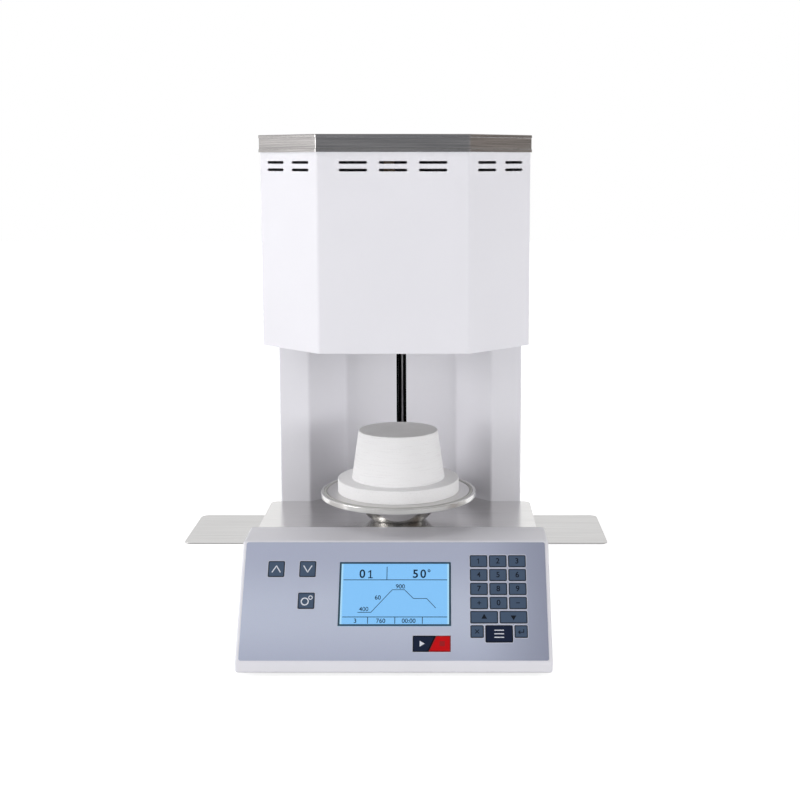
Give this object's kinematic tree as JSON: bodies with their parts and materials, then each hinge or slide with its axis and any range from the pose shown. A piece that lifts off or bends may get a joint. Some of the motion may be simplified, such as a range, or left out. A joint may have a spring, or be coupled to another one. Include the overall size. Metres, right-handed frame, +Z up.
{
  "type": "dental furnace",
  "caption": "Octagonal firing head over an open workspace, with a round lift table carrying a ceramic block, a sloped keypad console with a display, and steel side trays.",
  "frame": {"origin": "on the table, at the middle of the whole object's footprint", "axes": "+Z up, -Y towards the operator, +X to the operator's right"},
  "size_m": [0.446, 0.3703, 0.5408],
  "materials": {
    "white_coat": "fine-textured white powder coat, satin",
    "brushed_stainless": "brushed stainless sheet",
    "turned_steel": "turned steel with fine rings",
    "ground_steel": "ground and polished shaft",
    "bright_sheet": "plain stainless sheet",
    "milled_aluminium": "milled and blasted",
    "black_metal": "matt black paint",
    "bronze": "machined bronze",
    "foot_rubber": "matt black rubber",
    "seal_silicone": "grey silicone cord",
    "white_ceramic": "pressed ceramic fibre, matt white",
    "fibre_insulation": "soft ceramic fibre",
    "beige_ceramic": "unglazed beige ceramic",
    "heating_wire": "oxidised resistance wire",
    "membrane_film": "printed polyester film, fine satin texture",
    "key_blue": "printed slate-blue key, satin",
    "key_navy": "printed navy key, satin",
    "key_red": "printed red key, satin",
    "display_window": "clear anti-glare window",
    "display": "pale blue backlit display with dark segments",
    "circuit_board": "green circuit board with metal key domes",
    "motor_steel": "black painted laminations with a steel front plate",
    "black_plastic": "moulded black plastic",
    "rocker_plastic": "smooth black plastic",
    "winding_tape": "yellow tape over the winding",
    "screw_steel": "plated steel screw"
  },
  "bodies": {
    "cabinet": {"base_pan": "bright_sheet", "feet": "foot_rubber", "base_housing": "white_coat", "console_housing": "white_coat", "membrane_panel": "membrane_film", "lcd_window": "display_window", "lcd_module": "display", "control_board": "circuit_board", "deck_plate": "brushed_stainless", "column_housing": "white_coat", "lift_mast": "black_metal", "guide_rods": "ground_steel", "spindle_bearings": "turned_steel", "lift_motor": "motor_steel", "head_shell": "white_coat", "head_cap": "brushed_stainless", "head_floor": "bright_sheet", "muffle_casing": "bright_sheet", "muffle_insulation": "fibre_insulation", "heating_coil": "heating_wire", "thermocouple": "beige_ceramic", "rear_cover": "white_coat", "inlet_module": "black_plastic", "vacuum_line": "bright_sheet", "transformer": "winding_tape", "cover_screws": "screw_steel"},
    "lift": {"lift_carriage": "milled_aluminium", "spindle_nut": "bronze", "lift_arm": "bright_sheet", "lift_bowl": "brushed_stainless", "table_plate": "turned_steel", "seal_ring": "seal_silicone", "insulation_disc": "white_ceramic", "firing_block": "white_ceramic"},
    "spindle": {"lift_spindle": "ground_steel"},
    "left_tray": {"left_tray": "brushed_stainless"},
    "right_tray": {"right_tray": "brushed_stainless"},
    "power_rocker": {"power_rocker": "rocker_plastic"},
    "key_1": {"key_1": "key_blue"},
    "key_2": {"key_2": "key_blue"},
    "key_3": {"key_3": "key_blue"},
    "key_4": {"key_4": "key_blue"},
    "key_5": {"key_5": "key_blue"},
    "key_6": {"key_6": "key_blue"},
    "key_7": {"key_7": "key_blue"},
    "key_8": {"key_8": "key_blue"},
    "key_9": {"key_9": "key_blue"},
    "key_plus": {"key_plus": "key_blue"},
    "key_0": {"key_0": "key_blue"},
    "key_minus": {"key_minus": "key_blue"},
    "key_page_up": {"key_page_up": "key_blue"},
    "key_page_down": {"key_page_down": "key_blue"},
    "key_escape": {"key_escape": "key_blue"},
    "key_program": {"key_program": "key_navy"},
    "key_enter": {"key_enter": "key_blue"},
    "key_up": {"key_up": "key_blue"},
    "key_down": {"key_down": "key_blue"},
    "key_settings": {"key_settings": "key_blue"},
    "key_start": {"key_start": "key_navy"},
    "key_stop": {"key_stop": "key_red"}
  },
  "joints": [
    {"name": "lift_slide", "type": "slide", "parent": "cabinet", "child": "lift", "axis": [0, 0, 1], "range_m": [0, 0.1682]},
    {"name": "spindle_turn", "type": "hinge", "parent": "cabinet", "child": "spindle", "pos_m": [0, 0.13065, 0.1178], "axis": [0, 0, 1], "continuous": true},
    {"name": "left_tray_slide", "type": "slide", "parent": "cabinet", "child": "left_tray", "axis": [1, 0, 0], "range_m": [0, 0.062]},
    {"name": "right_tray_slide", "type": "slide", "parent": "cabinet", "child": "right_tray", "axis": [-1, 0, 0], "range_m": [0, 0.062]},
    {"name": "power_rocker_tilt", "type": "hinge", "parent": "cabinet", "child": "power_rocker", "pos_m": [0.09, 0.16665, 0.079], "axis": [-1, 0, 0], "range_deg": [0, 16]},
    {"name": "key_1_press", "type": "slide", "parent": "cabinet", "child": "key_1", "axis": [0, 0.8116, -0.5842], "range_m": [0, 0.0004], "stiffness_N_per_m": 1200, "springref_m": -0.0004},
    {"name": "key_2_press", "type": "slide", "parent": "cabinet", "child": "key_2", "axis": [0, 0.8116, -0.5842], "range_m": [0, 0.0004], "stiffness_N_per_m": 1200, "springref_m": -0.0004},
    {"name": "key_3_press", "type": "slide", "parent": "cabinet", "child": "key_3", "axis": [0, 0.8116, -0.5842], "range_m": [0, 0.0004], "stiffness_N_per_m": 1200, "springref_m": -0.0004},
    {"name": "key_4_press", "type": "slide", "parent": "cabinet", "child": "key_4", "axis": [0, 0.8116, -0.5842], "range_m": [0, 0.0004], "stiffness_N_per_m": 1200, "springref_m": -0.0004},
    {"name": "key_5_press", "type": "slide", "parent": "cabinet", "child": "key_5", "axis": [0, 0.8116, -0.5842], "range_m": [0, 0.0004], "stiffness_N_per_m": 1200, "springref_m": -0.0004},
    {"name": "key_6_press", "type": "slide", "parent": "cabinet", "child": "key_6", "axis": [0, 0.8116, -0.5842], "range_m": [0, 0.0004], "stiffness_N_per_m": 1200, "springref_m": -0.0004},
    {"name": "key_7_press", "type": "slide", "parent": "cabinet", "child": "key_7", "axis": [0, 0.8116, -0.5842], "range_m": [0, 0.0004], "stiffness_N_per_m": 1200, "springref_m": -0.0004},
    {"name": "key_8_press", "type": "slide", "parent": "cabinet", "child": "key_8", "axis": [0, 0.8116, -0.5842], "range_m": [0, 0.0004], "stiffness_N_per_m": 1200, "springref_m": -0.0004},
    {"name": "key_9_press", "type": "slide", "parent": "cabinet", "child": "key_9", "axis": [0, 0.8116, -0.5842], "range_m": [0, 0.0004], "stiffness_N_per_m": 1200, "springref_m": -0.0004},
    {"name": "key_plus_press", "type": "slide", "parent": "cabinet", "child": "key_plus", "axis": [0, 0.8116, -0.5842], "range_m": [0, 0.0004], "stiffness_N_per_m": 1200, "springref_m": -0.0004},
    {"name": "key_0_press", "type": "slide", "parent": "cabinet", "child": "key_0", "axis": [0, 0.8116, -0.5842], "range_m": [0, 0.0004], "stiffness_N_per_m": 1200, "springref_m": -0.0004},
    {"name": "key_minus_press", "type": "slide", "parent": "cabinet", "child": "key_minus", "axis": [0, 0.8116, -0.5842], "range_m": [0, 0.0004], "stiffness_N_per_m": 1200, "springref_m": -0.0004},
    {"name": "key_page_up_press", "type": "slide", "parent": "cabinet", "child": "key_page_up", "axis": [0, 0.8116, -0.5842], "range_m": [0, 0.0004], "stiffness_N_per_m": 1200, "springref_m": -0.0004},
    {"name": "key_page_down_press", "type": "slide", "parent": "cabinet", "child": "key_page_down", "axis": [0, 0.8116, -0.5842], "range_m": [0, 0.0004], "stiffness_N_per_m": 1200, "springref_m": -0.0004},
    {"name": "key_escape_press", "type": "slide", "parent": "cabinet", "child": "key_escape", "axis": [0, 0.8116, -0.5842], "range_m": [0, 0.0004], "stiffness_N_per_m": 1200, "springref_m": -0.0004},
    {"name": "key_program_press", "type": "slide", "parent": "cabinet", "child": "key_program", "axis": [0, 0.8116, -0.5842], "range_m": [0, 0.0004], "stiffness_N_per_m": 1200, "springref_m": -0.0004},
    {"name": "key_enter_press", "type": "slide", "parent": "cabinet", "child": "key_enter", "axis": [0, 0.8116, -0.5842], "range_m": [0, 0.0004], "stiffness_N_per_m": 1200, "springref_m": -0.0004},
    {"name": "key_up_press", "type": "slide", "parent": "cabinet", "child": "key_up", "axis": [0, 0.8116, -0.5842], "range_m": [0, 0.0004], "stiffness_N_per_m": 1200, "springref_m": -0.0004},
    {"name": "key_down_press", "type": "slide", "parent": "cabinet", "child": "key_down", "axis": [0, 0.8116, -0.5842], "range_m": [0, 0.0004], "stiffness_N_per_m": 1200, "springref_m": -0.0004},
    {"name": "key_settings_press", "type": "slide", "parent": "cabinet", "child": "key_settings", "axis": [0, 0.8116, -0.5842], "range_m": [0, 0.0004], "stiffness_N_per_m": 1200, "springref_m": -0.0004},
    {"name": "key_start_press", "type": "slide", "parent": "cabinet", "child": "key_start", "axis": [0, 0.8116, -0.5842], "range_m": [0, 0.0004], "stiffness_N_per_m": 1200, "springref_m": -0.0004},
    {"name": "key_stop_press", "type": "slide", "parent": "cabinet", "child": "key_stop", "axis": [0, 0.8116, -0.5842], "range_m": [0, 0.0004], "stiffness_N_per_m": 1200, "springref_m": -0.0004}
  ],
  "couplings": [
    {"joint": "spindle_turn", "follows": "lift_slide", "rad_per_m": -628.32}
  ]
}
